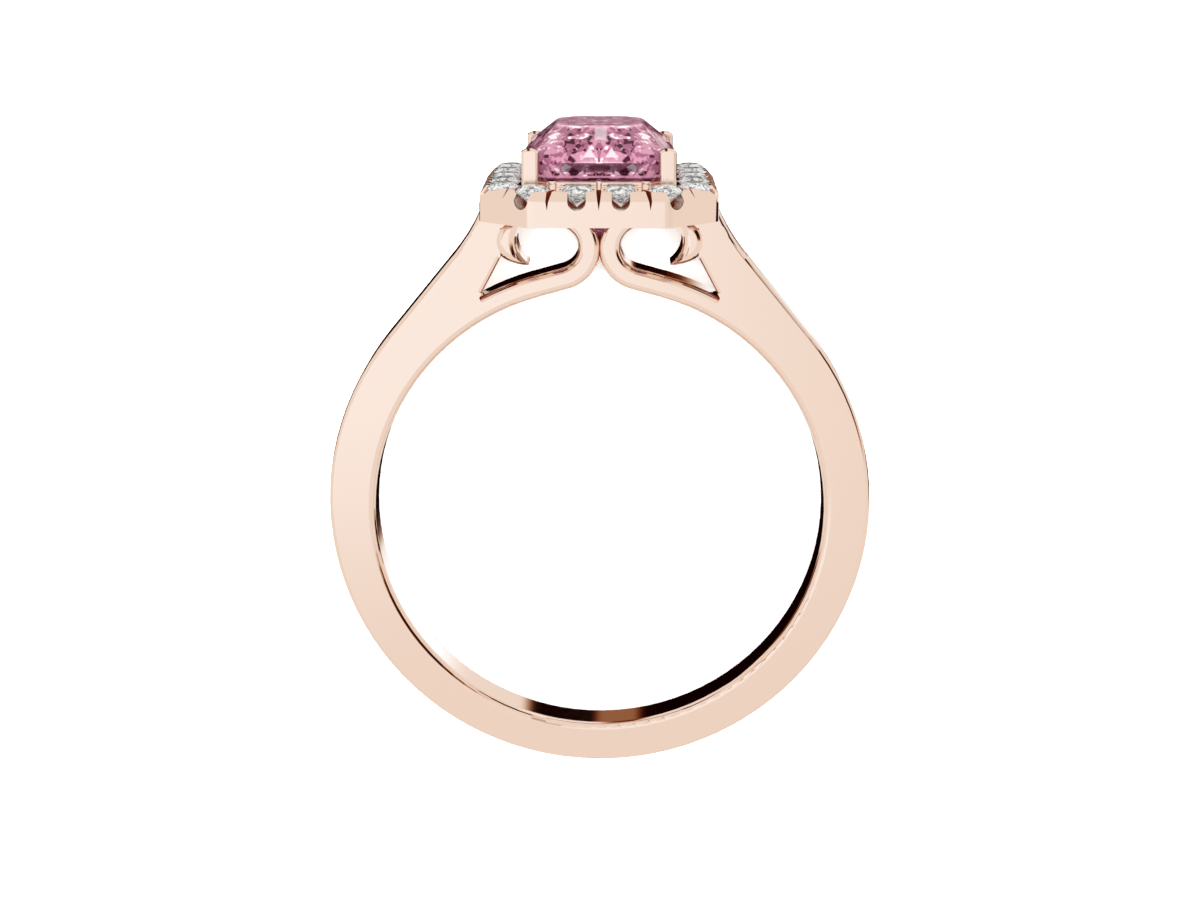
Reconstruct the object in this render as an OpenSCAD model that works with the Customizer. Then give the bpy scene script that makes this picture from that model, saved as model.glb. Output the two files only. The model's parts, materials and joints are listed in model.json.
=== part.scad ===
// Halo ring: a plain rose gold shank, a scroll gallery, an octagonal halo of
// round stones and a radiant-cut centre stone. It lies on its side, head to +Y.
// Every module is drawn upright first: X across the finger, Y along the finger,
// Z up through the head, with the finger's axis at the origin.

/* [Finger] */
// Inside diameter of the ring
finger_d = 17.3; // [15:0.1:20]

/* [Shank] */
// Width of the shank along the finger
shank_w = 1.84; // [1.5:0.02:3]
// Thickness of the shank at its lowest point
shank_t = 1.5; // [1.2:0.05:1.8]
// How far the outside circle sits above the finger's axis
shank_rise = 0.25; // [0:0.05:0.5]
// Rounding of both edges of the finger hole
comfort = 0.3; // [0.1:0.02:0.4]
// Rounding of the shank's and shoulders' outside edges
soft_edge = 0.2; // [0.1:0.01:0.3]

/* [Shoulders] */
// Metal of the shoulder outside the halo's wall where they meet
shoulder_ledge = 0.15; // [0.05:0.05:0.4]
// Thickness of the shoulder where it carries the halo
shoulder_t = 0.65; // [0.5:0.05:1]
// Lean of the shoulder's outside where it meets the halo
shoulder_lean = 23.5; // [18:0.5:30]
// Radius of the hollow sweep below the halo
sweep_r = 7; // [5:0.5:9]
// Angle from the top at which the shoulder forks off the arm
fork_angle = 28.6; // [26:0.2:32]
// Height of the shoulder's inner bend below the halo
bend_drop = 1.7; // [1.4:0.1:2]

/* [Gallery] */
// Thickness of the gallery arm
arm_t = 0.83; // [0.5:0.01:0.9]
// Angle from the top at which the arm leaves the finger circle
arm_angle = 15.6; // [14:0.2:20]
// Outside radius of the scroll
scroll_r = 1.62; // [1.5:0.02:1.75]
// Overlap of the two scrolls where they are soldered
solder = 0.03; // [0.02:0.01:0.05]
// Rounding of the arm's and scroll's edges
arm_soft = 0.28; // [0.1:0.01:0.35]
// Outside radius of the scroll's claw
claw_r = 0.83; // [0.78:0.01:0.88]
// Thickness of the claw where it is widest
claw_t = 0.83; // [0.78:0.01:0.88]
// Radius of the hollow inside the claw
claw_hollow_r = 1.05; // [1:0.01:1.1]
// Drop of the claw's centre below the halo
claw_drop = 1.07; // [1:0.01:1.15]
// Depth of the claw's root in the shoulder
claw_root = 0.22; // [0.15:0.01:0.3]
// Radius of the claw's long underside, towards its tip
claw_tip_r = 1.9; // [1.7:0.05:2.1]
// Turn at which the underside leaves the claw's round end
claw_tip_turn = 25; // [20:1:30]
// Reach of the claw's tip past its centre
claw_tip = 0.44; // [0.38:0.01:0.48]
// Proudness of the claw's face over the shoulder's
claw_proud = 0.12; // [0.06:0.01:0.15]
// Rounding of the claw's edges
claw_soft = 0.36; // [0.2:0.01:0.38]
// Rounding of the eye's upper corner beside the claw
eye_r = 0.38; // [0.3:0.01:0.45]
// Height of that corner's centre, as a turn about the hollow's centre
eye_turn = 10; // [5:1:15]

/* [Halo] */
// Width of the halo across the finger
halo_w = 8.74; // [8.4:0.02:9.4]
// Length of the halo along the finger
halo_l = 10; // [9.6:0.05:10.8]
// Corner cut of the halo
halo_cut = 1.8; // [1.6:0.02:1.9]
// Height of the halo's wall
halo_h = 1.26; // [1.1:0.02:1.5]
// Height of the halo's underside above the finger hole
head_rise = 2.9; // [2.7:0.05:3.2]
// Width of the halo's band of metal
band_w = 1.8; // [1.7:0.02:1.95]
// Inset of the row of stones from the outside wall
row_inset = 0.9; // [0.85:0.01:1]
// Rounding of the halo's upright corners
halo_round = 0.55; // [0.2:0.05:0.7]
// Width of the bevel along the top outside edge
rim_w = 0.27; // [0.1:0.01:0.3]
// Height of that bevel
rim_h = 0.32; // [0.1:0.01:0.4]

/* [Halo stones] */
// Diameter of a halo stone
melee_d = 1.25; // [1.1:0.01:1.35]
// Corner cut of the row of stones
row_cut = 1.1; // [1:0.02:1.2]
// Turn of the corner stones' windows away from the short side's direction
corner_turn = 33; // [20:1:40]
// Spaces between stones along the short sides
short_spaces = 3; // [2:1:3]
// Spaces between stones along the long sides
long_spaces = 4; // [2:1:4]
// Depth of a halo stone's girdle below the halo's top
melee_sink = 0.06; // [0.04:0.01:0.15]
// Clearance around every stone in its seat
seat_gap = 0.02; // [0.01:0.005:0.05]
// Light hole under each halo stone
light_hole_d = 0.7; // [0.4:0.05:0.9]
// Width of the U-shaped window in front of each halo stone
u_cut_w = 0.66; // [0.4:0.02:0.8]
// Depth of that window
u_cut_h = 0.64; // [0.4:0.02:0.9]
// Width of the V-shaped split between two stones
v_cut_w = 0.2; // [0.1:0.01:0.3]
// Depth of that split at the outside wall
v_cut_h = 0.62; // [0.3:0.02:0.8]
// Size of the corner splits, as a share of the others
corner_split = 0.55; // [0.4:0.05:1]

/* [Centre stone] */
// Width of the centre stone across the finger
stone_w = 5.6; // [5.2:0.02:5.8]
// Length of the centre stone along the finger
stone_l = 6.76; // [6.3:0.02:7]
// Corner cut of the centre stone
stone_cut = 0.86; // [0.7:0.02:1]
// Height of the crown
crown_h = 1.12; // [0.8:0.02:1.3]
// Thickness of the girdle
girdle_t = 0.08; // [0.04:0.01:0.12]
// Depth of the pavilion
pavilion_h = 3.16; // [2.6:0.02:3.2]
// Height of the girdle's underside above the halo
stone_lift = 0.88; // [0.8:0.02:1.1]
// Width of the table
table_w = 3.1; // [2.6:0.05:3.6]
// Length of the table
table_l = 3.9; // [3.4:0.05:4.4]

/* [Prongs] */
// Width of a prong across the finger
prong_w = 0.62; // [0.5:0.02:0.66]
// Depth of a prong along the finger
prong_l = 0.58; // [0.5:0.02:0.6]
// Inset of a prong from the halo's wall, to its outside face
prong_inset = 1.56; // [1.56:0.01:1.62]
// Height of the prong's tip above the girdle
prong_tip = 0.44; // [0.3:0.02:0.6]
// Radius of the dome on the prong's tip
prong_dome = 0.5; // [0.45:0.01:0.8]
// Rounding of the prong's upright edges
prong_soft = 0.15; // [0.05:0.01:0.2]

/* [Hidden] */
$fn = 96;
eps = 0.01;
slip = 0.003;
bite = 0.2;

finger_r = finger_d / 2;
outer_r = finger_r + shank_t + shank_rise;
half_w = shank_w / 2;

halo_z = finger_r + head_rise;
halo_top = halo_z + halo_h;
halo_x = halo_w / 2;
halo_y = halo_l / 2;

// Stones along the inset octagon, which has this much less cut per unit of inset
corner_share = 2 - sqrt(2);
row_x = halo_x - row_inset;
row_y = halo_y - row_inset;
inner_x = halo_x - band_w;
inner_y = halo_y - band_w;
inner_cut = halo_cut - corner_share * band_w;

// Halo stones
melee_r = melee_d / 2;
melee_z = halo_top - melee_sink;
melee_table_r = 0.56 * melee_r;
melee_crown = 0.32 * melee_r;
melee_girdle = 0.06 * melee_r;
melee_pavilion = 0.86 * melee_r;
quarter_spaces = short_spaces + long_spaces + 2;
stone_count = 2 * quarter_spaces;

// Centre stone
girdle_z = halo_top + stone_lift;
crown_z = girdle_z + girdle_t;
table_z = crown_z + crown_h;
stone_tip_z = girdle_z - pavilion_h;

// Gallery arm and scroll
arm_turn = [sin(arm_angle), cos(arm_angle)];
arm_run = [-cos(arm_angle), sin(arm_angle)];
scroll_x = scroll_r - solder;
scroll_z = (finger_r + scroll_r - scroll_x * arm_turn.x) / arm_turn.y;
scroll = [scroll_x, scroll_z];
arm_straight = scroll * arm_run;
bend_x = halo_x - shoulder_t;
bend_z = halo_z - bend_drop;
claw = [bend_x + claw_root - claw_r, halo_z - claw_drop];
claw_hollow = [claw.x + claw_r - claw_t - claw_hollow_r, claw.y];
claw_tip_c = claw + (claw_tip_r - claw_r) * [-sin(claw_tip_turn), cos(claw_tip_turn)];
eye_dir = [cos(eye_turn), sin(eye_turn)];
eye_c = claw_hollow + (claw_hollow_r - eye_r) * eye_dir;
bridge_z = eye_c.y + eye_r;

// Shoulder: a hollow sweep below the halo, then a straight line that runs
// tangent to the sweep and to the shank's outside circle
sweep_end = [halo_x + shoulder_ledge, halo_z];
sweep_c = sweep_end + sweep_r * [cos(shoulder_lean), sin(shoulder_lean)];
to_sweep = sweep_c - [0, shank_rise];
tangent_angle = atan2(to_sweep.y, to_sweep.x)
    - acos(min(1, (outer_r + sweep_r) / norm(to_sweep)));
sweep_top_angle = asin(max(0, min(1, (sweep_c.y - halo_z - bite) / sweep_r)));
along = [cos(tangent_angle), sin(tangent_angle)];
line_start = [0, shank_rise] + (outer_r - slip) * along;
line_end = sweep_c - (sweep_r - slip) * along;
line_angle = atan2(line_end.y - line_start.y, line_end.x - line_start.x);

// Inner edge of the shoulder, from the fork off the arm up to the claw
fork = (finger_r + arm_t) * [sin(fork_angle), cos(fork_angle)];
bend = [bend_x, bend_z];
fork_run = (bend - fork) / norm(bend - fork);
fork_line = fork + bite * fork_run;

// Prongs
prong_x = halo_x - prong_inset - prong_w / 2;
prong_y = halo_y - prong_inset - prong_l / 2;
prong_z = crown_z + prong_tip;

// Resting pose: on the halo's lower edge and on the rounded edge of the shank
shank_soft = [half_w - soft_edge + slip, soft_edge - slip - finger_r - shank_t];
rest_line = [halo_y, halo_z] - shank_soft;
lean = atan2(rest_line.x, rest_line.y) - asin(soft_edge / norm(rest_line));
lift = halo_y * cos(lean) - halo_z * sin(lean);
far_y = max(table_z * cos(lean) + table_l / 2 * sin(lean),
    (prong_z - prong_dome) * cos(lean) + prong_y * sin(lean) + prong_dome);
near_y = shank_soft.y * cos(lean) - shank_soft.x * sin(lean) - soft_edge;
middle_y = (far_y + near_y) / 2;

melee_names = ["halo_stone_01", "halo_stone_02", "halo_stone_03", "halo_stone_04", "halo_stone_05",
    "halo_stone_06", "halo_stone_07", "halo_stone_08", "halo_stone_09", "halo_stone_10",
    "halo_stone_11", "halo_stone_12", "halo_stone_13", "halo_stone_14", "halo_stone_15",
    "halo_stone_16", "halo_stone_17", "halo_stone_18"];

gold = [0.93, 0.76, 0.68];
pink = [0.79, 0.45, 0.63];
white = [0.9, 0.93, 0.93];

// Points of an octagon: half sizes x and y, corner cut
function octagon(x, y, cut) = [
    [x - cut, -y], [x, -y + cut], [x, y - cut], [x - cut, y],
    [-x + cut, y], [-x, y - cut], [-x, -y + cut], [-x + cut, -y]];

function turned(p, a) = [p.x * cos(a) - p.y * sin(a), p.x * sin(a) + p.y * cos(a)];

// Row of halo stones: [centre, outward angle] for each, going round from the
// middle of the near short side. A corner stone at the end of a short side
// faces towards its corner, one at the end of a long side faces out.
short_half = row_x - row_cut;
long_half = row_y - row_cut;
short_pitch = 2 * short_half / short_spaces;
long_pitch = 2 * long_half / long_spaces;
near_side = [for (i = [0 : short_spaces])
    [[-short_half + i * short_pitch, -row_y],
        -90 + (i == 0 ? -corner_turn : i == short_spaces ? corner_turn : 0)]];
right_side = [for (i = [0 : long_spaces]) [[row_x, -long_half + i * long_pitch], 0]];
row = concat(near_side, right_side,
    [for (s = near_side) [-s[0], s[1] + 180]], [for (s = right_side) [-s[0], s[1] + 180]]);

// Round brilliant: table, star, kite, upper half, girdle, lower half and
// pavilion facets. Origin at the middle of the girdle.
function ring_points(count, r, z, turn) =
    [for (i = [0 : count - 1]) [r * cos(i * 360 / count + turn), r * sin(i * 360 / count + turn), z]];

module brilliant(r, table_r, crown, girdle, pavilion) {
    half = girdle / 2;
    star_r = 0.55 * (table_r + r);
    star_z = half + crown - (star_r * cos(22.5) - table_r) * crown / (r - table_r);
    low_r = 0.42 * r;
    low_z = -half - pavilion + low_r * cos(22.5) * pavilion / r;
    points = concat(
        ring_points(8, table_r, half + crown, 0),
        ring_points(8, star_r, star_z, 22.5),
        ring_points(16, r, half, 0),
        ring_points(16, r, -half, 0),
        ring_points(8, low_r, low_z, 22.5),
        [[0, 0, -half - pavilion]]);
    table = 0;
    star = 8;
    top = 16;
    bottom = 32;
    low = 48;
    tip = 56;
    faces = concat(
        [[for (i = [7 : -1 : 0]) table + i]],
        [for (i = [0 : 7]) [table + i, table + (i + 1) % 8, star + i]],
        [for (i = [0 : 7]) [table + i, star + i, top + 2 * i]],
        [for (i = [0 : 7]) [table + i, top + 2 * i, star + (i + 7) % 8]],
        [for (i = [0 : 7]) [star + i, top + 2 * i + 1, top + 2 * i]],
        [for (i = [0 : 7]) [star + i, top + (2 * i + 2) % 16, top + 2 * i + 1]],
        [for (i = [0 : 15]) [top + i, top + (i + 1) % 16, bottom + (i + 1) % 16, bottom + i]],
        [for (i = [0 : 7]) [low + i, bottom + 2 * i, bottom + 2 * i + 1]],
        [for (i = [0 : 7]) [low + i, bottom + 2 * i + 1, bottom + (2 * i + 2) % 16]],
        [for (i = [0 : 7]) [tip, bottom + 2 * i, low + i]],
        [for (i = [0 : 7]) [tip, low + i, bottom + (2 * i + 2) % 16]]);
    polyhedron(points, faces);
}

// Radiant cut: rings of an octagon from the table down to the tip. Rows with
// columns: share of the girdle's half sizes, share of the corner cut, height.
function radiant_rings(g) = let (
        x = stone_w / 2 + g,
        y = stone_l / 2 + g,
        c = stone_cut,
        t = c * table_w / stone_w)
    [[table_w / 2 + g, table_l / 2 + g, t, table_z + g],
    [0.84 * x, 0.86 * y, 0.86 * c, crown_z + 0.52 * crown_h + g],
    [x, y, c, crown_z + g / 2],
    [x, y, c, girdle_z - g / 2],
    [0.84 * x, 0.84 * y, 0.86 * c, girdle_z - 0.36 * pavilion_h - g],
    [0.42 * x, 0.4 * y, 0.44 * c, girdle_z - 0.72 * pavilion_h - g]];

module radiant(g) {
    rings = radiant_rings(g);
    count = len(rings);
    points = concat(
        [for (r = rings) for (p = octagon(r[0], r[1], r[2])) [p.x, p.y, r[3]]],
        [[0, 0, stone_tip_z - g]]);
    last = 8 * (count - 1);
    faces = concat(
        [[for (i = [7 : -1 : 0]) i]],
        [for (k = [0 : count - 2]) for (i = [0 : 7])
            [8 * k + i, 8 * k + (i + 1) % 8, 8 * k + 8 + (i + 1) % 8, 8 * k + 8 + i]],
        [for (i = [0 : 7]) [last + i, last + (i + 1) % 8, 8 * count]]);
    polyhedron(points, faces);
}

// Sliver between a square corner at the origin and its rounding. The rounding
// crosses both sides at a small angle instead of touching them.
module corner_sliver(f) {
    difference() {
        translate([-f, -f]) square(f + bite);
        translate([slip - f, slip - f]) circle(f);
    }
}

// Section of the arm: a bar with all four edges rounded, smaller by g all round
module bar_section(g) {
    half = half_w - g;
    difference() {
        translate([g, -half]) square([arm_t - 2 * g, 2 * half]);
        for (side = [-1, 1]) scale([1, side]) {
            translate([arm_t - g, half]) corner_sliver(arm_soft);
            translate([g, half]) mirror([1, 0]) corner_sliver(arm_soft);
        }
    }
}

// Rounding of one face's edge round a disc, or round a hole
module disc_edge(r, half, f, turn) {
    rotate_extrude(angle = turn) translate([r, half]) corner_sliver(f);
}

module hole_edge(r, half, f, turn) {
    rotate_extrude(angle = turn) translate([r, half]) mirror([1, 0]) corner_sliver(f);
}

// Draw in the front view: x across, y up, thickness along the finger
module front() {
    rotate([90, 0, 0]) children();
}

module bar(depth) {
    translate([0, 0, -depth / 2]) linear_extrude(depth) children();
}

module both_faces() {
    for (side = [-1, 1]) scale([1, 1, side]) children();
}

// Disc with both edges rounded, and the cutter of a hole with both edges rounded
module soft_disc(r, half, f) {
    rotate_extrude() difference() {
        translate([0, -half]) square([r, 2 * half]);
        for (side = [-1, 1]) scale([1, side]) translate([r, half]) corner_sliver(f);
    }
}

module soft_hole(r, half, f) {
    rotate_extrude() {
        translate([0, -half - bite]) square([r, 2 * half + 2 * bite]);
        for (side = [-1, 1]) scale([1, side]) translate([r, half]) mirror([1, 0]) corner_sliver(f);
    }
}

// Front outline of the shank and the shoulders, without the gallery
module frame_outline() {
    difference() {
        union() {
            translate([0, shank_rise]) circle(outer_r);
            for (side = [-1, 1]) scale([side, 1]) shoulder_outline();
        }
        circle(finger_r);
        polygon([for (side = [-1, 1]) for (p = head_gap(side)) p]);
    }
}

// One side of the open space between the shoulders, bottom to top or back
function head_gap(side) = let (
        points = [0.9 * finger_r * [sin(fork_angle), cos(fork_angle)], fork, bend,
            [bend_x, halo_z + 2 * bite]])
    side < 0 ? [for (p = points) [-p.x, p.y]] : [for (i = [3 : -1 : 0]) points[i]];

module shoulder_outline() {
    difference() {
        polygon([[0, shank_rise], line_start, line_end, [line_end.x, halo_z + bite], [0, halo_z + bite]]);
        translate(sweep_c) circle(sweep_r);
    }
}

// Roundings along the outside edges of one face of the shank and shoulders
module frame_edges() {
    translate([0, shank_rise, 0]) rotate(180 - tangent_angle)
        disc_edge(outer_r, half_w, soft_edge, 180 + 2 * tangent_angle);
    for (side = [-1, 1]) scale([side, 1, 1]) {
        translate(line_start) rotate(line_angle) rotate([90, 0, 90])
            linear_extrude(norm(line_end - line_start))
                translate([0, half_w]) mirror([1, 0]) corner_sliver(soft_edge);
        translate(sweep_c) rotate(180 + tangent_angle)
            hole_edge(sweep_r, half_w, soft_edge, sweep_top_angle - tangent_angle);
        translate(fork_line) rotate(atan2(fork_run.y, fork_run.x)) rotate([90, 0, 90])
            linear_extrude(norm(bend - fork_line)) translate([0, half_w]) corner_sliver(soft_edge);
    }
}

module frame() {
    front() difference() {
        bar(shank_w) frame_outline();
        both_faces() frame_edges();
    }
}

// Gallery on the right: arm along the finger circle, straight run, scroll,
// and the bridge over the scroll's eye
module gallery() {
    front() {
        rotate(88 - fork_angle) rotate_extrude(angle = fork_angle + 2 - arm_angle)
            translate([finger_r, 0]) bar_section(0);
        translate(finger_r * arm_turn - eps * arm_run) rotate(90 - arm_angle) rotate([-90, 0, 0])
            linear_extrude(arm_straight + 2 * eps) bar_section(slip);
        difference() {
            translate(scroll) rotate(90) rotate_extrude(angle = 180 - arm_angle)
                translate([scroll_r - arm_t, 0]) bar_section(0);
            translate([0, halo_z + eye_r, -half_w - bite]) cube([2 * scroll_r, scroll_r, shank_w + 2 * bite]);
        }
        bar(shank_w) {
            difference() {
                translate([scroll_x - eps, bridge_z])
                    square([bend_x - scroll_x + bite, halo_z + bite - bridge_z]);
                translate(scroll) circle(scroll_r - arm_t);
                translate(claw_hollow) circle(claw_hollow_r);
            }
            difference() {
                polygon([eye_c, eye_c + claw_r * eye_dir, [eye_c.x + claw_r, halo_z + bite],
                    [eye_c.x, halo_z + bite]]);
                translate(eye_c) circle(eye_r + slip);
            }
        }
    }
}

// Claw-shaped end of the scroll beside the right shoulder: a round end whose
// underside runs out to the tip along a larger radius
module claw_end() {
    half = half_w + claw_proud;
    front() difference() {
        translate(claw) soft_disc(claw_r, half, claw_soft);
        claw_hole();
        translate([claw.x - claw_tip - 2 * claw_r, claw.y - 2 * claw_r, -2 * half])
            cube([2 * claw_r, 2 * claw_r, 4 * half]);
    }
    front() difference() {
        intersection() {
            translate(claw_tip_c) soft_disc(claw_tip_r - slip, half - slip, claw_soft);
            bar(4 * half) polygon([[claw.x - claw_tip, claw.y], claw,
                claw + 2 * claw_r * [sin(claw_tip_turn), -cos(claw_tip_turn)],
                [claw.x - claw_tip, claw.y - 2 * claw_r]]);
        }
        claw_hole();
    }
}

module claw_hole() {
    translate(claw_hollow) soft_hole(claw_hollow_r, half_w + claw_proud, claw_soft);
}

// Octagonal plate with its top edge bevelled and the middle open
module halo_plate() {
    reach = halo_l;
    facets = [[halo_x, 0], [halo_y, 90], [halo_x, 180], [halo_y, 270]];
    corner = (halo_x + halo_y - halo_cut) / sqrt(2);
    difference() {
        translate([0, 0, halo_z]) linear_extrude(halo_h)
            difference() {
                rounded_octagon();
                polygon(octagon(inner_x, inner_y, inner_cut));
            }
        for (f = facets) rim_cut(f[0], f[1], reach);
        for (a = [45, 135, 225, 315]) rim_cut(corner, a, reach);
    }
}

// Outside of the halo: straight sides with round corners between them
module rounded_octagon() {
    centre_x = halo_x - halo_round;
    centre_y = halo_y - halo_round;
    centres = octagon(centre_x, centre_y, halo_cut - corner_share * halo_round);
    polygon([for (i = [0 : 7]) for (a = [i * 45 - 90, i * 45 - 45])
        centres[i] + halo_round * [cos(a), sin(a)]]);
    for (c = centres) translate(c) circle(halo_round);
}

// Wedge that takes the bevel off one side of the plate
module rim_cut(distance, angle, reach) {
    rotate(angle) translate([distance, reach / 2, halo_top]) rotate([90, 0, 0])
        linear_extrude(reach)
            polygon([[-rim_w, 0], [eps, -rim_h * (1 + eps / rim_w)], [eps, eps], [-rim_w, eps]]);
}

// Seat, light hole and U-shaped window of one halo stone
module melee_cut() {
    r = melee_r + seat_gap;
    slope = melee_pavilion / melee_r;
    floor_z = -melee_girdle / 2 - (r - light_hole_d / 2) * slope;
    rotate_extrude() polygon([[0, melee_sink + eps], [r, melee_sink + eps], [r, -melee_girdle / 2],
        [light_hole_d / 2, floor_z], [light_hole_d / 2, melee_sink - halo_h], [0, melee_sink - halo_h]]);
    centre_z = melee_sink - u_cut_h + u_cut_w / 2;
    translate([0, 0, centre_z]) rotate([0, 90, 0]) cylinder(d = u_cut_w, h = 2 * row_inset);
    translate([0, -u_cut_w / 2, centre_z]) cube([2 * row_inset, u_cut_w, u_cut_h]);
}

// V-shaped split between two stones, cut from the outside wall inwards
module split_cut(share) {
    deep = 2 * row_inset;
    half = share * v_cut_w / 2;
    rotate([0, 10, 0]) translate([-deep / 2, 0, 0]) rotate([90, 0, 90]) linear_extrude(deep)
        polygon([[-half, 0], [0, -share * v_cut_h], [half, 0], [half, 1], [-half, 1]]);
}

// Places of the splits: halfway between neighbours, with the mean of their
// angles, and their size. The corner splits are small and face their corner.
function mean_angle(a, b) = a + ((b - a + 540) % 360 - 180) / 2;
corner_places = [short_spaces, quarter_spaces - 1, quarter_spaces + short_spaces, stone_count - 1];
corner_angles = [-45, 45, 135, 225];
splits = [for (i = [0 : stone_count - 1])
    let (s = row[i], n = row[(i + 1) % stone_count], corner = search(i, corner_places))
    [(s[0] + n[0]) / 2, len(corner) > 0 ? corner_angles[corner[0]] : mean_angle(s[1], n[1]),
        len(corner) > 0 ? corner_split : 1]];

// Post with rounded upright edges and a domed tip
module prong(x, y) {
    intersection() {
        translate([x, y, halo_z]) linear_extrude(prong_z) prong_section();
        union() {
            translate([x, y, prong_z - prong_dome]) sphere(prong_dome);
            translate([x - prong_w, y - prong_w, halo_z - bite])
                cube([2 * prong_w, 2 * prong_w, prong_z - prong_dome - halo_z + bite]);
        }
    }
}

module prong_section() {
    difference() {
        square([prong_w, prong_l], center = true);
        for (sx = [-1, 1]) for (sy = [-1, 1]) scale([sx, sy])
            translate([prong_w / 2, prong_l / 2]) corner_sliver(prong_soft);
    }
}

module upright_setting() {
    difference() {
        union() {
            frame();
            for (side = [-1, 1]) scale([side, 1, 1]) {
                gallery();
                claw_end();
            }
            halo_plate();
            for (sx = [-1, 1]) for (sy = [-1, 1]) prong(sx * prong_x, sy * prong_y);
        }
        front() both_faces() hole_edge(finger_r, half_w, comfort, 360);
        for (s = row) translate([s[0].x, s[0].y, melee_z]) rotate(s[1]) melee_cut();
        for (s = splits) translate([s[0].x, s[0].y, halo_top]) rotate(s[1])
            translate([row_inset, 0, 0]) split_cut(s[2]);
        radiant(seat_gap);
    }
}

// Lay the upright ring on its side, leaning on the halo's edge
module lay() {
    translate([0, -middle_y, lift]) rotate([lean - 90, 0, 0]) children();
}

module setting() {
    color(gold) lay() upright_setting();
}

module centre_stone() {
    color(pink) lay() radiant(0);
}

module halo_stone(i) {
    s = row[i];
    color(white) lay() translate([s[0].x, s[0].y, melee_z]) rotate(s[1])
        brilliant(melee_r, melee_table_r, melee_crown, melee_girdle, melee_pavilion);
}

setting();
centre_stone();
for (i = [0 : len(melee_names) - 1])
    halo_stone(i);
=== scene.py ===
import json
import math

import bmesh
import bpy
from mathutils import Matrix, Vector
from mathutils.bvhtree import BVHTree


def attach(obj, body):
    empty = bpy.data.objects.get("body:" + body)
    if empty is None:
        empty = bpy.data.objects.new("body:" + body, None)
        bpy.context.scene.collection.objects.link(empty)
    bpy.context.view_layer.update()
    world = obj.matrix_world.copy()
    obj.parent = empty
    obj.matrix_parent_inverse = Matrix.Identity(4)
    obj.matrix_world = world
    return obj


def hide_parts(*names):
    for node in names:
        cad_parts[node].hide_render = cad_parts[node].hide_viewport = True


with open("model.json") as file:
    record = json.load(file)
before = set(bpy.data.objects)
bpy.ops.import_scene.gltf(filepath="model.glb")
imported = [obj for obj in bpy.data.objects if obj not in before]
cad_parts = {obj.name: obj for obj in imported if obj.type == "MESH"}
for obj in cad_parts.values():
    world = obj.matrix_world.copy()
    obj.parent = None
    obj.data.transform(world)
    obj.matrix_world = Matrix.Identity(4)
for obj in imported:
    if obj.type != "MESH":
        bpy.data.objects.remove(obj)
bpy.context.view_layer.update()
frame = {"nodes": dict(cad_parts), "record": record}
scene = bpy.context.scene
perMetre = 1000  # mm, in which the ring's own places are given

# The ring's own upright axes, from the finger hole that the part was packed with:
# across the finger, along it, and up through the head.
fingerHole = next(m for m in frame["record"]["mounts"] if m["name"] == "finger_hole")
alongFinger = -Vector(fingerHole["axis"]).normalized()
acrossFinger = Vector((1, 0, 0))
throughHead = acrossFinger.cross(alongFinger)
uprightAxes = (acrossFinger, alongFinger, throughHead)
ringToFloor = Matrix.Translation(Vector(fingerHole["pos_m"])) @ Matrix(
    uprightAxes).transposed().to_4x4()


def addObject(name, data):
    thing = bpy.data.objects.new(name, data)
    scene.collection.objects.link(thing)
    return thing


# Camera: fitted to the photograph, as an orbit round the finger hole's centre.
view = {
    "distance": 0.090,
    "elevation": math.radians(14.84),
    "pitch": math.radians(13.46),
    "yaw": math.radians(-0.43),
    "lens": 69.4,
    "sensor": 36,
    "nearest": 0.001,
    "frameWidth": 1200,
    "centreColumn": 599.73,
}


def placeCamera():
    data = bpy.data.cameras.new("photoCamera")
    data.sensor_width = view["sensor"]
    data.lens = view["lens"]
    data.shift_x = 0.5 - view["centreColumn"] / view["frameWidth"]
    data.clip_start = view["nearest"]
    camera = addObject("photoCamera", data)
    up = view["elevation"]
    place = view["distance"] * Vector((0, -math.cos(up), math.sin(up)))
    turned = Matrix.Rotation(-view["yaw"], 4, "Z")
    tilted = Matrix.Translation(place) @ Matrix.Rotation(math.pi / 2 - view["pitch"], 4, "X")
    camera.matrix_world = ringToFloor @ turned @ tilted
    scene.camera = camera
    print("camera is", round(camera.matrix_world.translation.z, 4), "m above the floor")


# Shader maths as Python expressions: a wrapped socket adds Math nodes to its own tree.
class Wire:
    def __init__(self, tree, socket):
        self.tree = tree
        self.socket = socket

    def math(self, operation, *values):
        return addNode(self.tree, "ShaderNodeMath", {"operation": operation},
            dict(enumerate(values)))

    def __add__(self, other):
        return self.math("ADD", self, other)

    def __radd__(self, other):
        return self.math("ADD", other, self)

    def __sub__(self, other):
        return self.math("SUBTRACT", self, other)

    def __rsub__(self, other):
        return self.math("SUBTRACT", other, self)

    def __mul__(self, other):
        return self.math("MULTIPLY", self, other)

    def __rmul__(self, other):
        return self.math("MULTIPLY", other, self)

    def __pow__(self, other):
        return self.math("POWER", self, other)

    def __abs__(self):
        return self.math("ABSOLUTE", self)

    def atMost(self, limit):
        return self.math("MINIMUM", self, limit)


def addNode(tree, kind, settings=None, inputs=None, output=0):
    node = tree.nodes.new(kind)
    for name, value in (settings or {}).items():
        setattr(node, name, value)
    for name, value in (inputs or {}).items():
        if isinstance(value, Wire):
            tree.links.new(value.socket, node.inputs[name])
        else:
            node.inputs[name].default_value = value
    return Wire(tree, node.outputs[output])


# The colours of a Mix node are its inputs 6 and 7 and its output 2.
def mixColour(tree, share, first, second):
    return addNode(tree, "ShaderNodeMix", {"data_type": "RGBA"},
        {"Factor": share, 6: first, 7: second}, 2)


def alongAxis(tree, place, axis):
    return addNode(tree, "ShaderNodeVectorMath", {"operation": "DOT_PRODUCT"},
        {0: place, 1: axis}, "Value")


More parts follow.
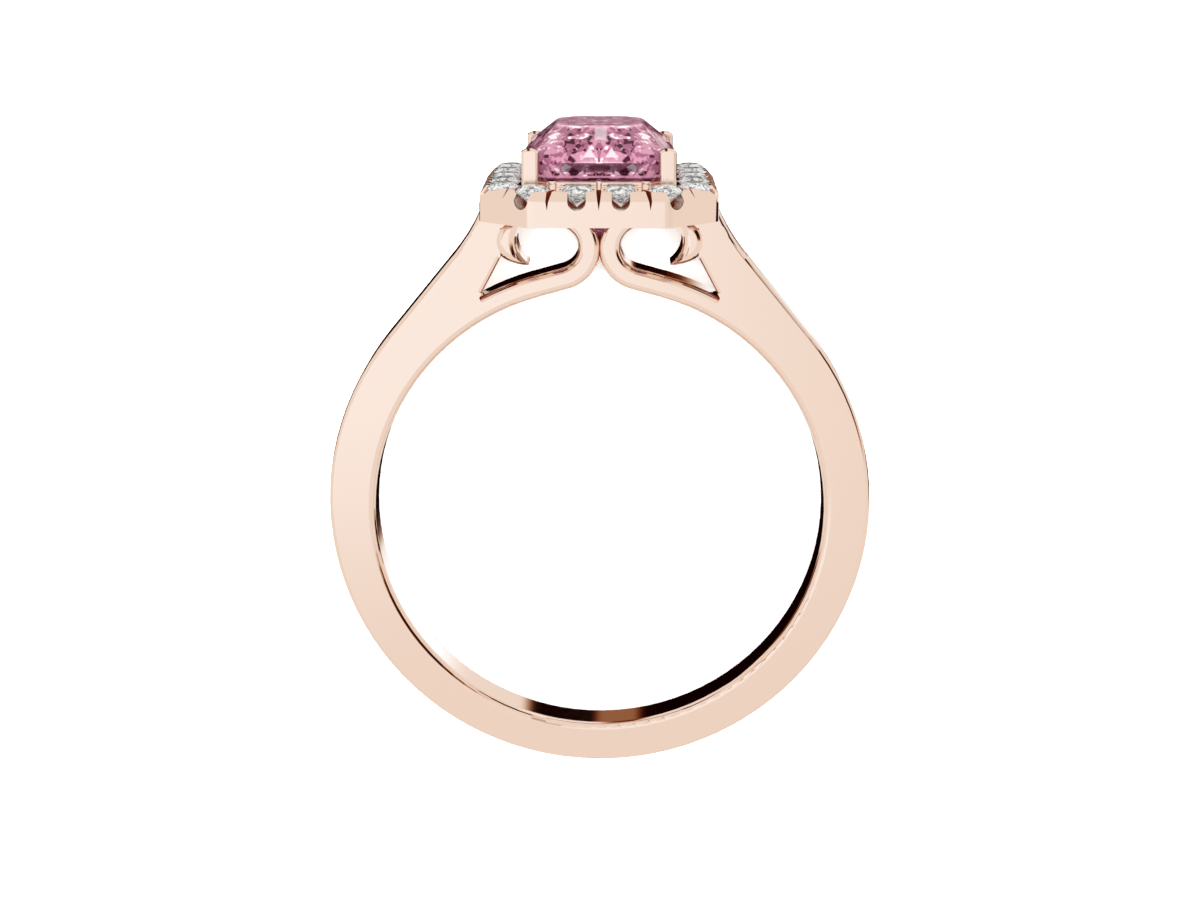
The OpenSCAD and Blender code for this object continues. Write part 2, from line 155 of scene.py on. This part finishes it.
def stepUp(tree, value, low, high):
    return addNode(tree, "ShaderNodeMapRange", {"interpolation_type": "SMOOTHSTEP"},
        {"Value": value, "From Min": low, "From Max": high})


def stepDown(tree, value, edge, soft):
    return addNode(tree, "ShaderNodeMapRange", {"interpolation_type": "SMOOTHSTEP"},
        {"Value": value, "From Min": edge - soft, "From Max": edge + soft,
            "To Min": 1, "To Max": 0})


# 1 between the limits and 0 outside them.
def between(tree, value, limits, soft):
    low, high = limits
    return stepUp(tree, value, low - soft, low + soft) * stepDown(tree, value, high, soft)


def newMaterial(name, sockets):
    material = bpy.data.materials.new(name)
    material.use_nodes = True
    shader = material.node_tree.nodes["Principled BSDF"]
    for socket, value in sockets.items():
        shader.inputs[socket].default_value = value
    return material, material.node_tree, shader


def feed(shader, wire, *sockets):
    for socket in sockets:
        wire.tree.links.new(wire.socket, shader.inputs[socket])


# Rose gold with painted shade: its colour turns a dark copper red where the metal closes in on
# itself, painted in place of the shade and reflected shade in hollows, creases and joints.
roseGold = {
    "colour": (0.95, 0.785, 0.685, 1),
    # Dark copper red, painted in as shade where the metal closes in on itself.
    "deep": (0.60, 0.16, 0.06, 1),
    "closed": (0.3, 0.72),
    "roughness": 0.07,
    "closedRoughness": 0.5,
    "wear": 0.03,
    "wearScale": 900,
    "wearDetail": 3,
}


def makeRoseGold():
    metal = roseGold
    material, tree, shader = newMaterial("polishedRoseGold", {"Metallic": 1})
    openness = addNode(tree, "ShaderNodeAttribute", {"attribute_name": "openness"}, output="Fac")
    share = stepUp(tree, openness, *metal["closed"])
    place = addNode(tree, "ShaderNodeTexCoord", output="Object")
    grain = addNode(tree, "ShaderNodeTexNoise", None,
        {"Vector": place, "Scale": metal["wearScale"], "Detail": metal["wearDetail"]})
    roughness = metal["roughness"] + metal["wear"] * grain
    # Painted shade: the colour turns dark copper red where the measured openness is low.
    feed(shader, mixColour(tree, share, metal["deep"], metal["colour"]), "Base Color")
    feed(shader, roughness + (1 - share) * metal["closedRoughness"], "Roughness")
    return material


# Evenly spread directions, on a spiral from pole to pole.
def fixedDirections(count):
    spread = math.pi * (3 - math.sqrt(5))
    directions = []
    for i in range(count):
        height = 1 - (2 * i + 1) / count
        out = math.sqrt(1 - height * height)
        directions.append(Vector((math.cos(i * spread) * out, math.sin(i * spread) * out, height)))
    return directions


# Share of the sky that each corner of each face sees, within a short reach; it sets where the gold
# is painted with shade. Faces of more than the open area count as open.
sky = {
    "rays": 64,
    "grazing": 0.15,
    "reach": 0.0016,
    "inset": 0.12,
    "lift": 3e-6,
    "openArea": 0.5e-6,
}


def measureOpenness(mesh):
    tree = BVHTree.FromPolygons([v.co for v in mesh.vertices], [p.vertices for p in mesh.polygons])
    directions = fixedDirections(sky["rays"])
    values = [1.0] * len(mesh.loops)
    for face in mesh.polygons:
        if face.area > sky["openArea"]:
            continue
        above = [d for d in directions if d.dot(face.normal) > sky["grazing"]]
        for loop in face.loop_indices:
            corner = mesh.vertices[mesh.loops[loop].vertex_index].co
            start = corner.lerp(face.center, sky["inset"]) + face.normal * sky["lift"]
            free = sum(tree.ray_cast(start, d, sky["reach"])[0] is None for d in above)
            values[loop] = free / max(1, len(above))
    mesh.attributes.new("openness", "FLOAT", "CORNER").data.foreach_set("value", values)


# The shaded point's place across and along the finger and up through the head, in mm
# from the middle of the finger hole.
def uprightPlace(tree):
    place = addNode(tree, "ShaderNodeTexCoord", output="Object")
    origin = ringToFloor.translation
    return [perMetre * alongAxis(tree, place, axis) - perMetre * axis.dot(origin)
        for axis in uprightAxes]


# Painted flashes of a cut stone: flat shards of random brightness, painted in place of the light
# and shade its facets show, the same in all four quarters.
def shards(tree, place, size):
    across, along, head = place
    folded = addNode(tree, "ShaderNodeCombineXYZ", None,
        {"X": abs(across), "Y": abs(along), "Z": head})
    cells = addNode(tree, "ShaderNodeTexVoronoi", None,
        {"Vector": folded, "Scale": 1 / size}, "Color")
    return addNode(tree, "ShaderNodeSeparateColor", None, {"Color": cells})


# Coarse and fine painted shards together.
def sparkle(tree, place, stone):
    coarse, fine = (weight * shards(tree, place, size)
        for size, weight in zip(stone["sizes"], stone["weights"]))
    return coarse + fine


# Pink stone. Its colour is painted with the light and shade that its facets show: shards from dark
# plum to white flashes, a lighter and pinker top, a darker lower part, dark bands, a pale strip,
# bright highlights at the girdle edge, in a wedge and in a veil, and a glow of the same colours.
# Heights are in mm above the finger's axis, and halves from its middle. A patch has its range of
# heights, its half width, a softness of each, and a share.
pinkStone = {
    "ior": 1.76,
    "gloss": 0.3,
    "reflected": (1, 0.4, 0.6, 1),
    "through": 0.4,
    # The stone glows in its painted colours, though it is no lamp.
    "glow": 0.35,
    "sizes": (0.31, 0.17),
    "weights": (0.55, 0.45),
    # Painted facet colours, from dark shade through mauve and light pink to white flashes.
    "paintedDarkPlum": (0.014, 0.001, 0.005, 1),
    "mauve": (0.20, 0.072, 0.12, 1),
    "light": (0.37, 0.18, 0.25, 1),
    "flash": (0.62, 0.55, 0.58, 1),
    "toMauve": (0.28, 0.31),
    "toLight": (0.52, 0.57),
    "toFlash": (0.80, 0.83),
    # Painted light: a lighter, pinker top and a darker lower part.
    "top": {"head": (14.80, 14.90), "lift": 0.14, "share": 0.38, "colour": (0.86, 0.5, 0.63, 1)},
    "under": {"head": (13.25, 13.35), "lift": -0.06},
    "middle": 0.05,
    # Painted dark bands, a painted pale strip, a painted bright girdle edge, a painted pale veil
    # and a painted bright spark wedge.
    "paintedDarkBands": [
        {"head": (13.33, 13.68), "headSoft": 0.015, "half": 1.5, "soft": 0.2, "share": 0.75},
        {"head": (13.40, 13.60), "headSoft": 0.015, "half": 0.42, "soft": 0.2, "share": 0.9},
        {"head": (12.8, 13.10), "headSoft": 0.015, "half": 2.5, "soft": 0.1, "share": 0.75},
    ],
    "paintedPaleStrip": {"head": (13.12, 13.20), "headSoft": 0.015, "half": 2.3, "soft": 0.05, "share": 0.7},
    "edge": {"head": (13.705, 13.725), "headSoft": 0.012, "half": 0.8, "soft": 0.05, "share": 0.6},
    "paintedPaleVeil": {"head": (14.45, 14.86), "headSoft": 0.03, "half": 0.22, "soft": 0.06, "share": 0.5},
    "spark": {"head": (13.88, 14.24), "headSoft": 0.01, "middle": 0.4, "half": 0.24,
        "soft": (-0.03, 0.06), "share": 0.75},
}


def patch(tree, head, side, part):
    level = between(tree, head, part["head"], part["headSoft"])
    return level * stepDown(tree, side, part["half"], part["soft"]) * part["share"]


# A painted highlight: a bright wedge on each side of the middle, wide below and narrowing upwards.
def wedge(tree, head, side, part):
    low, high = part["head"]
    taper = (high - head) * (part["half"] / (high - low)) - abs(side - part["middle"])
    level = between(tree, head, part["head"], part["headSoft"])
    return level * stepUp(tree, taper, *part["soft"]) * part["share"]


def makePinkStone():
    stone = pinkStone
    material, tree, shader = newMaterial("pinkStone", {
        "Roughness": 0.0, "IOR": stone["ior"], "Specular IOR Level": stone["gloss"],
        "Specular Tint": stone["reflected"], "Transmission Weight": stone["through"],
        "Emission Strength": stone["glow"]})
    place = uprightPlace(tree)
    across, along, head = place
    side = abs(across - stone["middle"])
    # Painted light: the top is lighter and pinker, the lower part darker.
    top = stepUp(tree, head, *stone["top"]["head"])
    under = 1 - stepUp(tree, head, *stone["under"]["head"])
    value = sparkle(tree, place, stone) + top * stone["top"]["lift"]
    value = value + under * stone["under"]["lift"]
    # Painted facet light and shade: the shards run from dark plum through mauve and light pink to
    # white flashes.
    colour = mixColour(tree, stepUp(tree, value, *stone["toMauve"]), stone["paintedDarkPlum"], stone["mauve"])
    colour = mixColour(tree, stepUp(tree, value, *stone["toLight"]), colour, stone["light"])
    colour = mixColour(tree, stepUp(tree, value, *stone["toFlash"]), colour, stone["flash"])
    colour = mixColour(tree, top * stone["top"]["share"], colour, stone["top"]["colour"])
    # Painted shade: dark plum bands; then a painted reflection: a pale strip.
    for band in stone["paintedDarkBands"]:
        colour = mixColour(tree, patch(tree, head, side, band), colour, stone["paintedDarkPlum"])
    colour = mixColour(tree, patch(tree, head, side, stone["paintedPaleStrip"]), colour, stone["light"])
    # Painted highlights: a bright girdle edge, a bright wedge and a pale veil.
    bright = patch(tree, head, side, stone["edge"]) + wedge(tree, head, side, stone["spark"])
    bright = bright + patch(tree, head, side, stone["paintedPaleVeil"])
    # The painted colour is also the glow, though the stone is no lamp.
    feed(shader, mixColour(tree, bright, colour, stone["flash"]), "Base Color", "Emission Color")
    return material


# White halo stones, painted with their flashes: bright shards with a few dark ones, which also
# glow though the stones are no lamps.
whiteStone = {
    "ior": 1.6,
    "through": 0.4,
    # The stones glow in their painted colours, though they are no lamps.
    "glow": 0.4,
    "sizes": (0.14, 0.07),
    "weights": (0.5, 0.5),
    # Painted facet colours, from dark shade to bright flashes.
    "dark": (0.09, 0.095, 0.095, 1),
    "grey": (0.24, 0.25, 0.245, 1),
    "white": (0.46, 0.47, 0.47, 1),
    "toGrey": (0.26, 0.31),
    "toWhite": (0.45, 0.6),
}


def makeWhiteStone():
    stone = whiteStone
    material, tree, shader = newMaterial("whiteStone", {
        "Roughness": 0.0, "IOR": stone["ior"], "Transmission Weight": stone["through"],
        "Emission Strength": stone["glow"]})
    value = sparkle(tree, uprightPlace(tree), stone)
    colour = mixColour(tree, stepUp(tree, value, *stone["toGrey"]), stone["dark"], stone["grey"])
    colour = mixColour(tree, stepUp(tree, value, *stone["toWhite"]), colour, stone["white"])
    # Painted flashes of light and shade, which also feed the glow.
    feed(shader, colour, "Base Color", "Emission Color")
    return material


# The stones of the halo are the CAD's own.
def dressHaloStones(material):
    stones = [node for name, node in frame["nodes"].items() if name.startswith("halo_stone")]
    for stone in stones:
        stone.data.materials[0] = material
    print("white material on", len(stones), "halo stones")


# The setting is a merged, smooth-shaded copy of its CAD solid.
smoothing = {
    "weld": 3.5e-6,
    "flat": math.radians(0.2),
    "sharpAngle": math.radians(36),
    "sizeWeight": 2,
}


# Large flat faces keep their own direction, and the small faces of a rounding bend
# between them: a corner's normal leans on its neighbours by their size.
def settleNormals(mesh):
    around = [[] for vertex in mesh.vertices]
    for face in mesh.polygons:
        for index in face.vertices:
            around[index].append(face)
    least = math.cos(smoothing["sharpAngle"])
    normals = []
    for face in mesh.polygons:
        for index in face.vertices:
            total = Vector()
            for near in around[index]:
                if near.normal.dot(face.normal) > least:
                    size = near.area * perMetre ** 2
                    total += near.normal * size ** smoothing["sizeWeight"]
            normals.append(total.normalized())
    mesh.normals_split_custom_set(normals)


def smoothFaces(bm):
    for face in bm.faces:
        face.smooth = True


# From the ring's own upright place in mm to its place on the floor.
def layDown(bm):
    bmesh.ops.scale(bm, vec=(1 / perMetre,) * 3, verts=bm.verts)
    bmesh.ops.transform(bm, matrix=ringToFloor, verts=bm.verts)


def newMesh(name, bm, material):
    mesh = bpy.data.meshes.new(name)
    bm.to_mesh(mesh)
    bm.free()
    mesh.materials.append(material)
    return mesh


def polishSetting(material):
    mesh = frame["nodes"]["setting"].data.copy()
    mesh.name = "polishedSetting"
    bm = bmesh.new()
    bm.from_mesh(mesh)
    bmesh.ops.remove_doubles(bm, verts=bm.verts, dist=smoothing["weld"])
    bmesh.ops.dissolve_limit(bm, angle_limit=smoothing["flat"], verts=bm.verts, edges=bm.edges)
    smoothFaces(bm)
    bm.to_mesh(mesh)
    bm.free()
    mesh.set_sharp_from_angle(angle=smoothing["sharpAngle"])
    settleNormals(mesh)
    measureOpenness(mesh)
    mesh.materials.clear()
    mesh.materials.append(material)
    print("setting has", len(mesh.polygons), "faces and", len(mesh.loops), "corners")
    piece = addObject("polishedSetting", mesh)
    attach(piece, "root")
    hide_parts("setting")


# Low metal bars on the halo's inner edge, one behind each stone, and a thin wall that
# closes the gaps between them. A row is the middle of a bar across and along the finger,
# its length and its turn, in mm and degrees.
innerRail = {
    "top": 13.01,
    "height": 0.24,
    "barWidth": 0.14,
    "barRound": 0.065,
    "barSegments": 3,
    "bars": [
        (0.82, 3.35, 1.54, 0), (2.27, 2.9, 1.3, -45), (2.69, 1.6, 1.46, 90), (2.69, 0, 1.46, 90),
    ],
    "wallWidth": 0.05,
    "walls": [(0, 3.26, 3.7, 0), (2.205, 2.865, 1.14, -45), (2.6, 0, 5.02, 90)],
}


# Boxes under the rail's top, repeated in all four quarters. A box on an axis, whose
# repeats fall together, is made once.
def addBars(bm, rows, width):
    height = innerRail["height"]
    places = set()
    for x, y, length, turn in rows:
        for sx, sy in ((-1, -1), (-1, 1), (1, -1), (1, 1)):
            mirrored = turn if turn == 90 else turn * sx * sy
            places.add((x * sx, y * sy, length, mirrored))
    for x, y, length, turn in sorted(places):
        middle = Matrix.Translation((x, y, innerRail["top"] - height / 2))
        turned = Matrix.Rotation(math.radians(turn), 4, "Z")
        size = Matrix.Diagonal((length, width, height, 1))
        bmesh.ops.create_cube(bm, size=1, matrix=middle @ turned @ size)


# A bevel leaves its faces in an order that changes from run to run, so they are sorted
# by their corners' numbers, which don't.
def sortFaces(bm):
    bm.verts.index_update()
    count = len(bm.verts)

    def cornerOrder(face):
        first, second, third = sorted(corner.index for corner in face.verts)[:3]
        return (first * count + second) * count + third

    bm.faces.sort(key=cornerOrder)


def layInnerRail(material):
    rail = innerRail
    bm = bmesh.new()
    addBars(bm, rail["bars"], rail["barWidth"])
    bmesh.ops.bevel(bm, geom=bm.edges[:], offset=rail["barRound"], offset_type="OFFSET",
        segments=rail["barSegments"], profile=0.5, affect="EDGES", material=-1)
    addBars(bm, rail["walls"], rail["wallWidth"])
    sortFaces(bm)
    layDown(bm)
    smoothFaces(bm)
    mesh = newMesh("innerRail", bm, material)
    settleNormals(mesh)
    measureOpenness(mesh)
    print("inner rail has", len(mesh.polygons), "faces")
    piece = addObject("innerRail", mesh)
    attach(piece, "root")


# The centre stone is cut from a block, one plane for each facet, as a gem is. A row is
# the facet's azimuth, its slope, and how far out it passes at what height, in mm from the
# middle of the girdle's underside. Every row is repeated in all four quarters.
radiantCut = {
    "half": (2.8, 3.38),
    "corner": 0.86,
    "table": 1.2,
    "depth": 3.16,
    "girdleHead": 13.69,
    "snap": 1e-5,
    "crown": [
        (0, 52, 2.8, 0.08), (90, 51, 3.38, 0.08), (45, 50, 3.762, 0.08),
        (22, 50, 3.5, 0.08), (68, 50, 3.81, 0.08),
        (10, 43, 2.4, 0.66), (80, 40, 2.93, 0.66),
        (0, 34, 2.352, 0.66), (90, 29.4, 2.907, 0.66), (45, 31, 2.95, 0.66),
        (24, 30, 1.97, 1.2), (66, 29, 2.19, 1.2),
    ],
    "pavilion": [
        (0, 68.5, 2.8, 0), (90, 64.6, 3.38, 0), (45, 61.6, 3.762, 0),
        (20, 62, 3.45, 0), (70, 62, 3.79, 0),
        (0, 44, 2.352, -1.14), (90, 37.4, 2.839, -1.14), (45, 42, 3.05, -1.14),
        (8, 47, 2.37, -1.14), (82, 41, 2.85, -1.14), (28, 46, 2.95, -1.14), (62, 42, 3.1, -1.14),
        (0, 37, 1.176, -2.275), (90, 33, 1.352, -2.275), (45, 36, 1.45, -2.275),
        (15, 38, 1.22, -2.275), (75, 35, 1.36, -2.275),
        (33, 37, 1.38, -2.275), (57, 36, 1.42, -2.275),
    ],
}


def cutFacet(bm, normal, through):
    everything = bm.verts[:] + bm.edges[:] + bm.faces[:]
    bmesh.ops.bisect_plane(bm, geom=everything, dist=radiantCut["snap"], plane_co=through,
        plane_no=normal, clear_outer=True)
    rim = [edge for edge in bm.edges if edge.is_boundary]
    if rim:
        bmesh.ops.edgeloop_fill(bm, edges=rim)


def cutCentreStone(material):
    cut = radiantCut
    bm = bmesh.new()
    bmesh.ops.create_cube(bm, size=1)
    x, y = cut["half"]
    height = cut["table"] + cut["depth"]
    bmesh.ops.scale(bm, vec=(2 * x, 2 * y, height), verts=bm.verts)
    bmesh.ops.translate(bm, vec=(0, 0, height / 2 - cut["depth"]), verts=bm.verts)
    rows = [(45, 90, (x + y - cut["corner"]) / math.sqrt(2), 0, 1)]  # the cut corners
    rows += [row + (1,) for row in cut["crown"]] + [row + (-1,) for row in cut["pavilion"]]
    for azimuth, slope, reach, level, up in rows:
        lean = math.radians(slope)
        turns = {angle % 360 for angle in (azimuth, 180 - azimuth, 180 + azimuth, -azimuth)}
        for turn in map(math.radians, sorted(turns)):
            out = Vector((math.cos(turn), math.sin(turn), 0))
            normal = out * math.sin(lean) + Vector((0, 0, up * math.cos(lean)))
            cutFacet(bm, normal, out * reach + Vector((0, 0, level)))
    bmesh.ops.translate(bm, vec=(0, 0, cut["girdleHead"]), verts=bm.verts)
    layDown(bm)
    bmesh.ops.recalc_face_normals(bm, faces=bm.faces)
    mesh = newMesh("radiantStone", bm, material)
    print("centre stone has", len(mesh.polygons), "facets")
    piece = addObject("radiantStone", mesh)
    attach(piece, "root")
    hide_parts("centre_stone")


paleFloor = {
    "radius": 1.5,
    "segments": 96,
    "colour": (0.92, 0.92, 0.92, 1),
    "roughness": 0.6,
    "gloss": 0.2,
    "glowColour": (1, 1, 1, 1),
    "glow": 0.12,
}


def layFloor():
    material = newMaterial("paleFloor", {
        "Base Color": paleFloor["colour"], "Roughness": paleFloor["roughness"],
        "Specular IOR Level": paleFloor["gloss"], "Emission Color": paleFloor["glowColour"],
        "Emission Strength": paleFloor["glow"]})[0]
    bm = bmesh.new()
    bmesh.ops.create_circle(bm, cap_ends=True, segments=paleFloor["segments"],
        radius=paleFloor["radius"])
    floor = addObject("floor", newMesh("floor", bm, material))
    floor.visible_glossy = False  # the polish shows the studio instead
    print("floor is", 2 * paleFloor["radius"], "m wide")


# A lamp far behind the camera, which the polish doesn't show either.
floorFill = {"distance": 3.4, "size": 0.12, "power": 2}


def hangFloorFill():
    data = bpy.data.lights.new("floorFill", "AREA")
    data.shape = "RECTANGLE"
    data.size = data.size_y = floorFill["size"]
    data.energy = floorFill["power"]
    lamp = addObject("floorFill", data)
    lamp.location = scene.camera.matrix_world.translation * floorFill["distance"]
    lamp.rotation_euler = (-lamp.location).to_track_quat("-Z", "Y").to_euler()
    lamp.visible_glossy = False
    lamp.visible_camera = False


# Studio, as the polish shows it: a bright room with a dark pit below, whose right wall
# is lit, and panels of their own level. Directions are in the ring's upright axes, and
# the ground lies towards +Y, along the finger. A row is the range of a panel across the
# finger, up through the head and down to the ground, how soft it ends across and in the
# other two, and its level.
studio = {
    "room": 0.89,
    "warmth": (1.0, 1.7, 2.3),
    "pit": ((-0.62, 1.2), (-0.31, 0.42), (0.4, 1.2), 0.03, 0.03, 0.004),
    "pitSlant": 0.2,
    "litEdge": (0.135, -0.048, 0.71),
    "litSoft": 0.022,
    "panels": [
        ((-0.72, 0.05), (-0.27, 0.25), (-1.2, 0.3), 0.13, 0.06, 1.02),
        ((0.02, 1.2), (0.86, 1.2), (-0.1, 0.4), 0.05, 0.05, 1.06),
        ((0.47, 0.92), (-0.06, 0.53), (-0.9, -0.39), 0.09, 0.09, 0.03),
        ((-0.6, 0.6), (-1.2, -0.5), (0.3, 1.2), 0.1, 0.1, 0.72),
        ((-0.62, -0.5), (-0.05, 0.4), (-0.92, -0.6), 0.03, 0.03, 0.6),
        ((0.33, 0.75), (0.74, 0.9), (-0.46, -0.08), 0.04, 0.04, 0.03),
        ((-0.65, -0.2), (0.74, 1.2), (-0.46, 0.02), 0.05, 0.05, 0.03),
        ((0.55, 1.2), (-0.24, -0.07), (0.2, 0.85), 0.03, 0.03, 0.04),
        ((-0.22, -0.04), (0.45, 0.95), (0.3, 0.9), 0.05, 0.05, 0.08),
        ((-0.97, -0.62), (-0.08, 0.35), (0.3, 0.8), 0.05, 0.05, 0.15),
        ((-0.11, 0), (0.24, 0.4), (0.5, 1.2), 0.015, 0.015, 0.3),
        ((0.14, 0.4), (-0.2, 0.1), (0.8, 1.2), 0.06, 0.06, 1.14),
    ],
    "line": ((0.01, 0.05), (0.02, 0.7), (-1.2, -0.6), 0.02, 0.02, 0.5),
    "lineSlant": 0.34,
}


# One panel over what hangs there already.
def hangPanel(behind, row, across, head, down, share=1):
    acrossRange, headRange, downRange, softAcross, soft, level = row
    tree = across.tree
    cover = between(tree, across, acrossRange, softAcross) * between(tree, head, headRange, soft)
    cover = cover * between(tree, down, downRange, soft) * share
    return behind * (1 - cover) + level * cover


def lightStudio():
    world = bpy.data.worlds.new("studio")
    scene.world = world
    world.use_nodes = True
    tree = world.node_tree
    direction = addNode(tree, "ShaderNodeTexCoord")
    across, down, head = (alongAxis(tree, direction, axis) for axis in uprightAxes)
    level, slope, bend = studio["litEdge"]
    wall = level + slope * head + bend * head * head
    unlit = 1 - stepUp(tree, across - wall, -studio["litSoft"], studio["litSoft"])
    slanted = head + studio["pitSlant"] * across.atMost(0.0)
    shown = hangPanel(studio["room"], studio["pit"], across, slanted, down, unlit)
    for row in studio["panels"]:
        shown = hangPanel(shown, row, across, head, down)
    leaning = across - studio["lineSlant"] * head
    shown = hangPanel(shown, studio["line"], leaning, head, down)
    red, green, blue = (shown ** power for power in studio["warmth"])
    colour = addNode(tree, "ShaderNodeCombineColor", None,
        {"Red": red, "Green": green, "Blue": blue})
    feed(tree.nodes["Background"], colour, "Color")
    scene.view_settings.view_transform = "Standard"
    print("studio has", len(studio["panels"]), "panels")


placeCamera()
gold = makeRoseGold()
polishSetting(gold)
layInnerRail(gold)
cutCentreStone(makePinkStone())
dressHaloStones(makeWhiteStone())
layFloor()
lightStudio()
hangFloorFill()
